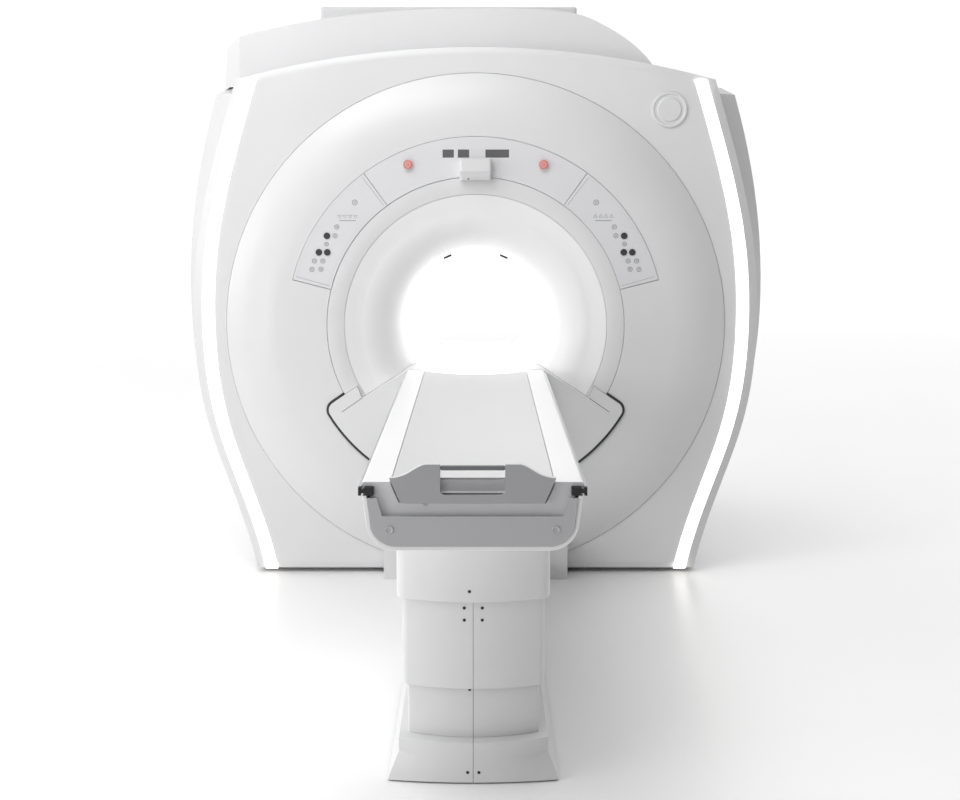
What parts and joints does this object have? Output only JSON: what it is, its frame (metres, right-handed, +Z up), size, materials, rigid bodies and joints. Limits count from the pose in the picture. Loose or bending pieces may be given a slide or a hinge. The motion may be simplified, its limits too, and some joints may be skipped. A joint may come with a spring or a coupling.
{
  "type": "mri scanner",
  "caption": "Closed bore scanner magnet in moulded covers with light strips, and a lifting patient table whose cradle slides into the bore.",
  "frame": {"origin": "on the floor under the isocentre, at the centre of the magnet's four floor bolts", "axes": "+X to the right seen from the table, +Y from the table into the bore, +Z up"},
  "size_m": [2.4026, 3.92, 2.433],
  "materials": {
    "cover_paint": "satin paint on moulded covers",
    "bore_paint": "smooth white",
    "panel_paint": "fine textured membrane",
    "display_glass": "dark smoked window",
    "badge_plastic": "satin",
    "light_diffuser": "lit opal diffuser",
    "black_rubber": "matt",
    "table_plastic": "moulded",
    "apron_grey": "moulded grey",
    "black_plastic": "moulded",
    "stop_red": "pale red",
    "button_grey": "dark grey",
    "copper_laminate": "etched",
    "epoxy_resin": "cast resin",
    "vessel_steel": "painted",
    "shield_aluminium": "satin",
    "stainless_steel": "brushed",
    "coil_winding": "wound",
    "dark_steel": "powder coated"
  },
  "bodies": {
    "root": {"badge_disc": "badge_plastic", "base_covers": "cover_paint", "bezel_ring": "cover_paint", "bore_bridge": "table_plastic", "bore_lights": "light_diffuser", "bore_liner": "bore_paint", "cold_head": "stainless_steel", "column_base_stage": "dark_steel", "cover_posts": "shield_aluminium", "display_panel": "panel_paint", "display_windows": "display_glass", "dock_foot_cover": "cover_paint", "dock_gasket": "black_rubber", "dock_sill_cover": "cover_paint", "front_cover": "cover_paint", "front_dome_cover": "cover_paint", "front_funnel": "bore_paint", "gradient_coil": "epoxy_resin", "helium_vessel": "stainless_steel", "laser_housing": "cover_paint", "left_control_panel": "panel_paint", "left_side_cover": "cover_paint", "light_strips": "light_diffuser", "lower_covers": "cover_paint", "magnet_feet": "vessel_steel", "quench_vent_pipe": "stainless_steel", "radiation_shield": "shield_aluminium", "rear_cover": "cover_paint", "rear_funnel": "bore_paint", "rf_body_coil": "copper_laminate", "right_control_panel": "panel_paint", "right_side_cover": "cover_paint", "superconducting_coils": "coil_winding", "suspension_posts": "epoxy_resin", "table_base_plate": "dark_steel", "top_hood": "cover_paint", "top_service_box": "cover_paint", "vacuum_vessel": "vessel_steel"},
    "middle_stage": {"column_middle_stage": "dark_steel", "middle_covers": "cover_paint"},
    "table": {"upper_cover": "cover_paint", "column_top_stage": "dark_steel", "table_tray": "table_plastic", "side_rails": "table_plastic", "accessory_rails": "shield_aluminium", "rail_end_caps": "black_plastic", "end_frame": "table_plastic", "end_apron": "apron_grey", "table_chassis": "shield_aluminium", "drive_motor": "dark_steel"},
    "cradle": {"cradle": "table_plastic"},
    "drive_wheel": {"drive_wheel": "black_rubber"},
    "left_stop_button": {"left_stop_button": "stop_red"},
    "left_button_1": {"left_button_1": "button_grey"},
    "left_button_2": {"left_button_2": "button_grey"},
    "left_button_3": {"left_button_3": "button_grey"},
    "right_stop_button": {"right_stop_button": "stop_red"},
    "right_button_1": {"right_button_1": "button_grey"},
    "right_button_2": {"right_button_2": "button_grey"},
    "right_button_3": {"right_button_3": "button_grey"}
  },
  "joints": [
    {"name": "table_lift", "type": "slide", "parent": "root", "child": "table", "axis": [0, 0, 1], "range_m": [-0.3, 0]},
    {"name": "middle_stage_lift", "type": "slide", "parent": "root", "child": "middle_stage", "axis": [0, 0, 1], "range_m": [-0.131, 0.001]},
    {"name": "cradle_travel", "type": "slide", "parent": "table", "child": "cradle", "axis": [0, 1, 0], "range_m": [0, 1.58]},
    {"name": "drive_wheel_turn", "type": "hinge", "parent": "table", "child": "drive_wheel", "pos_m": [0, -1.12, 0.781], "axis": [1, 0, 0], "range_deg": [-3100, 10]},
    {"name": "left_stop_press", "type": "slide", "parent": "root", "child": "left_stop_button", "axis": [0, 1, 0], "range_m": [0, 0.004], "stiffness_N_per_m": 1500, "springref_m": -0.001},
    {"name": "left_press_1", "type": "slide", "parent": "root", "child": "left_button_1", "axis": [0, 1, 0], "range_m": [0, 0.003], "stiffness_N_per_m": 800, "springref_m": -0.001},
    {"name": "left_press_2", "type": "slide", "parent": "root", "child": "left_button_2", "axis": [0, 1, 0], "range_m": [0, 0.003], "stiffness_N_per_m": 800, "springref_m": -0.001},
    {"name": "left_press_3", "type": "slide", "parent": "root", "child": "left_button_3", "axis": [0, 1, 0], "range_m": [0, 0.003], "stiffness_N_per_m": 800, "springref_m": -0.001},
    {"name": "right_stop_press", "type": "slide", "parent": "root", "child": "right_stop_button", "axis": [0, 1, 0], "range_m": [0, 0.004], "stiffness_N_per_m": 1500, "springref_m": -0.001},
    {"name": "right_press_1", "type": "slide", "parent": "root", "child": "right_button_1", "axis": [0, 1, 0], "range_m": [0, 0.003], "stiffness_N_per_m": 800, "springref_m": -0.001},
    {"name": "right_press_2", "type": "slide", "parent": "root", "child": "right_button_2", "axis": [0, 1, 0], "range_m": [0, 0.003], "stiffness_N_per_m": 800, "springref_m": -0.001},
    {"name": "right_press_3", "type": "slide", "parent": "root", "child": "right_button_3", "axis": [0, 1, 0], "range_m": [0, 0.003], "stiffness_N_per_m": 800, "springref_m": -0.001}
  ],
  "couplings": [
    {"joint": "middle_stage_lift", "follows": "table_lift", "ratio": 0.43333},
    {"joint": "drive_wheel_turn", "follows": "cradle_travel", "rad_per_m": -33.333}
  ]
}
